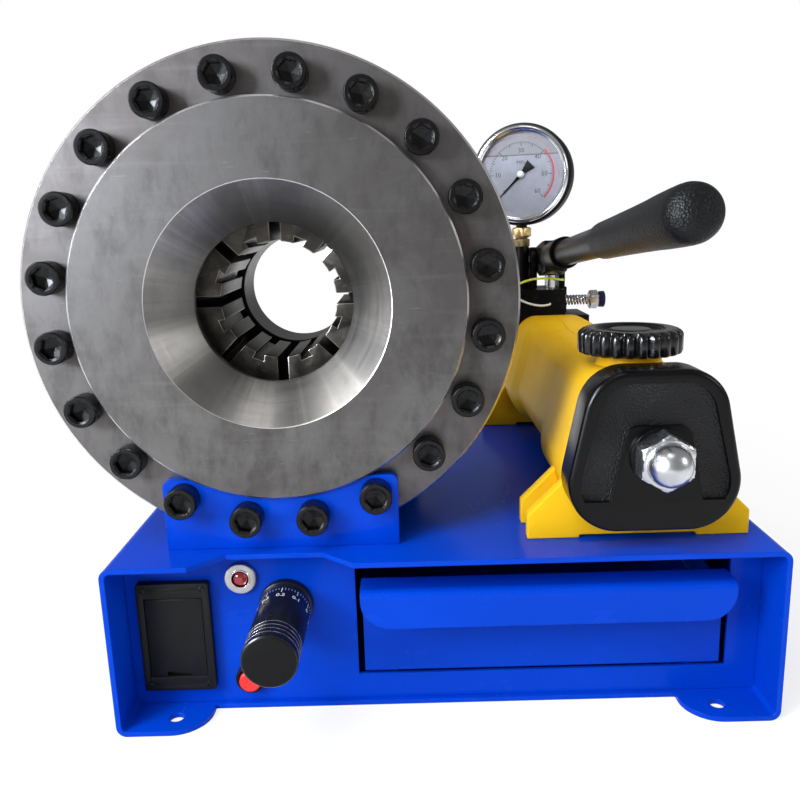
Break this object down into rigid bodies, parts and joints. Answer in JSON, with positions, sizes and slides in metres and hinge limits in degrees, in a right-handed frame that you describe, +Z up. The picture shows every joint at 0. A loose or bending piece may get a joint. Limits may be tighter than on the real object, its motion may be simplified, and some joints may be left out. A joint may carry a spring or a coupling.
{
  "type": "hose crimping machine",
  "caption": "Hand-pumped hydraulic hose crimper: steel die head with lead-in cone on a blue base with drawer and controls, yellow oil tank, pump lever and pressure gauge.",
  "frame": {"origin": "centre of the four floor-bolt holes, on the bench surface", "axes": "+X to the right seen from the front, +Y to the rear, +Z up"},
  "size_m": [0.5505, 0.5603, 0.4985],
  "materials": {
    "blue_paint": "gloss",
    "zinc_steel": "bright zinc",
    "black_plastic": "gloss",
    "black_oxide": "oiled black oxide",
    "satin_metal": "satin",
    "red_lens": "clear red",
    "red_plastic": "gloss",
    "tool_steel": "turned",
    "ground_steel": "ground",
    "turned_steel": "turned",
    "yellow_paint": "satin",
    "black_paint": "satin",
    "chrome_steel": "polished",
    "dark_tube": "satin",
    "black_rubber": "grained",
    "clear_glass": "clear",
    "dial_white": "matte",
    "needle_black": "matte",
    "brass": "turned",
    "die_steel": "oiled dark",
    "lead_yellow": "matte",
    "lead_white": "matte"
  },
  "bodies": {
    "base": {"acorn_nut": "zinc_steel", "base_shell": "blue_paint", "bracket_screws": "black_oxide", "button_bezel": "black_plastic", "control_module": "black_plastic", "cover_screws": "black_oxide", "drawer_runners": "zinc_steel", "earth_lead": "lead_yellow", "end_cap": "black_plastic", "front_cover": "ground_steel", "front_foot": "yellow_paint", "front_panel": "blue_paint", "gauge_bezel": "chrome_steel", "gauge_boot": "black_rubber", "gauge_case": "black_paint", "gauge_dial": "dial_white", "gauge_fitting": "brass", "gauge_glass": "clear_glass", "head_barrel": "turned_steel", "head_bracket": "blue_paint", "knob_collar": "black_oxide", "lamp_bezel": "satin_metal", "lamp_lens": "red_lens", "module_screws": "black_oxide", "oil_pipe": "zinc_steel", "pipe_nuts": "zinc_steel", "pivot_pin": "zinc_steel", "pump_block": "black_paint", "pump_tank": "yellow_paint", "rear_bracket": "blue_paint", "rear_cover": "turned_steel", "rear_panel": "blue_paint", "rear_screws": "black_oxide", "release_spring": "zinc_steel", "saddle_feet": "yellow_paint", "signal_lead": "lead_white", "tie_rod": "zinc_steel"},
    "drawer": {"drawer_tray": "blue_paint"},
    "module_door": {"module_cover": "black_plastic"},
    "button": {"stop_button": "red_plastic"},
    "knob": {"adjust_knob": "black_plastic", "adjust_spindle": "tool_steel"},
    "filler": {"filler_cap": "black_plastic"},
    "piston": {"crimp_piston": "tool_steel"},
    "lever": {"lever_yoke": "black_paint", "link_pin": "zinc_steel", "lever_tube": "dark_tube", "lever_grip": "black_rubber"},
    "plunger": {"pump_plunger": "chrome_steel"},
    "needle": {"gauge_needle": "needle_black"},
    "release": {"release_rod": "zinc_steel", "release_knob": "zinc_steel"},
    "die_1": {"master_die_1": "die_steel"},
    "die_2": {"master_die_2": "die_steel"},
    "die_3": {"master_die_3": "die_steel"},
    "die_4": {"master_die_4": "die_steel"},
    "die_5": {"master_die_5": "die_steel"},
    "die_6": {"master_die_6": "die_steel"},
    "die_7": {"master_die_7": "die_steel"},
    "die_8": {"master_die_8": "die_steel"}
  },
  "joints": [
    {"name": "drawer_slide", "type": "slide", "parent": "base", "child": "drawer", "axis": [0, -1, 0], "range_m": [0, 0.23]},
    {"name": "door_hinge", "type": "hinge", "parent": "base", "child": "module_door", "pos_m": [-0.208, -0.1774, 0.0953], "axis": [-1, 0, 0], "range_deg": [0, 95]},
    {"name": "button_push", "type": "slide", "parent": "base", "child": "button", "axis": [0, 1, 0], "range_m": [0, 0.003], "stiffness_N_per_m": 300},
    {"name": "knob_turn", "type": "hinge", "parent": "base", "child": "knob", "pos_m": [-0.1215, -0.172, 0.087], "axis": [0, -1, 0], "range_deg": [-360, 360]},
    {"name": "filler_turn", "type": "hinge", "parent": "base", "child": "filler", "pos_m": [0.1484, -0.136, 0.271], "axis": [0, 0, 1], "range_deg": [0, 360]},
    {"name": "piston_slide", "type": "slide", "parent": "base", "child": "piston", "axis": [0, -1, 0], "range_m": [0, 0.02582]},
    {"name": "lever_pivot", "type": "hinge", "parent": "base", "child": "lever", "pos_m": [0.1484, 0.232, 0.325], "axis": [-1, 0, 0], "range_deg": [0, 36]},
    {"name": "plunger_slide", "type": "slide", "parent": "base", "child": "plunger", "axis": [0, 0, 1], "range_m": [0, 0.0175]},
    {"name": "needle_turn", "type": "hinge", "parent": "base", "child": "needle", "pos_m": [0.115, 0.221, 0.423], "axis": [0.2756, 0.9613, 0], "range_deg": [0, 270], "stiffness_Nm_per_rad": 0.002},
    {"name": "release_push", "type": "slide", "parent": "base", "child": "release", "axis": [-1, 0, 0], "range_m": [0, 0.006], "stiffness_N_per_m": 400, "deforming": ["release_spring"]},
    {"name": "die_1_slide", "type": "slide", "parent": "base", "child": "die_1", "axis": [-0.9239, 0, -0.3827], "range_m": [0, 0.0094]},
    {"name": "die_2_slide", "type": "slide", "parent": "base", "child": "die_2", "axis": [-0.3827, 0, -0.9239], "range_m": [0, 0.0094]},
    {"name": "die_3_slide", "type": "slide", "parent": "base", "child": "die_3", "axis": [0.3827, 0, -0.9239], "range_m": [0, 0.0094]},
    {"name": "die_4_slide", "type": "slide", "parent": "base", "child": "die_4", "axis": [0.9239, 0, -0.3827], "range_m": [0, 0.0094]},
    {"name": "die_5_slide", "type": "slide", "parent": "base", "child": "die_5", "axis": [0.9239, 0, 0.3827], "range_m": [0, 0.0094]},
    {"name": "die_6_slide", "type": "slide", "parent": "base", "child": "die_6", "axis": [0.3827, 0, 0.9239], "range_m": [0, 0.0094]},
    {"name": "die_7_slide", "type": "slide", "parent": "base", "child": "die_7", "axis": [-0.3827, 0, 0.9239], "range_m": [0, 0.0094]},
    {"name": "die_8_slide", "type": "slide", "parent": "base", "child": "die_8", "axis": [-0.9239, 0, 0.3827], "range_m": [0, 0.0094]}
  ],
  "couplings": [
    {"joint": "plunger_slide", "follows": "lever_pivot", "m_per_rad": 0.027532},
    {"joint": "die_1_slide", "follows": "piston_slide", "ratio": 0.36397},
    {"joint": "die_2_slide", "follows": "piston_slide", "ratio": 0.36397},
    {"joint": "die_3_slide", "follows": "piston_slide", "ratio": 0.36397},
    {"joint": "die_4_slide", "follows": "piston_slide", "ratio": 0.36397},
    {"joint": "die_5_slide", "follows": "piston_slide", "ratio": 0.36397},
    {"joint": "die_6_slide", "follows": "piston_slide", "ratio": 0.36397},
    {"joint": "die_7_slide", "follows": "piston_slide", "ratio": 0.36397},
    {"joint": "die_8_slide", "follows": "piston_slide", "ratio": 0.36397}
  ]
}
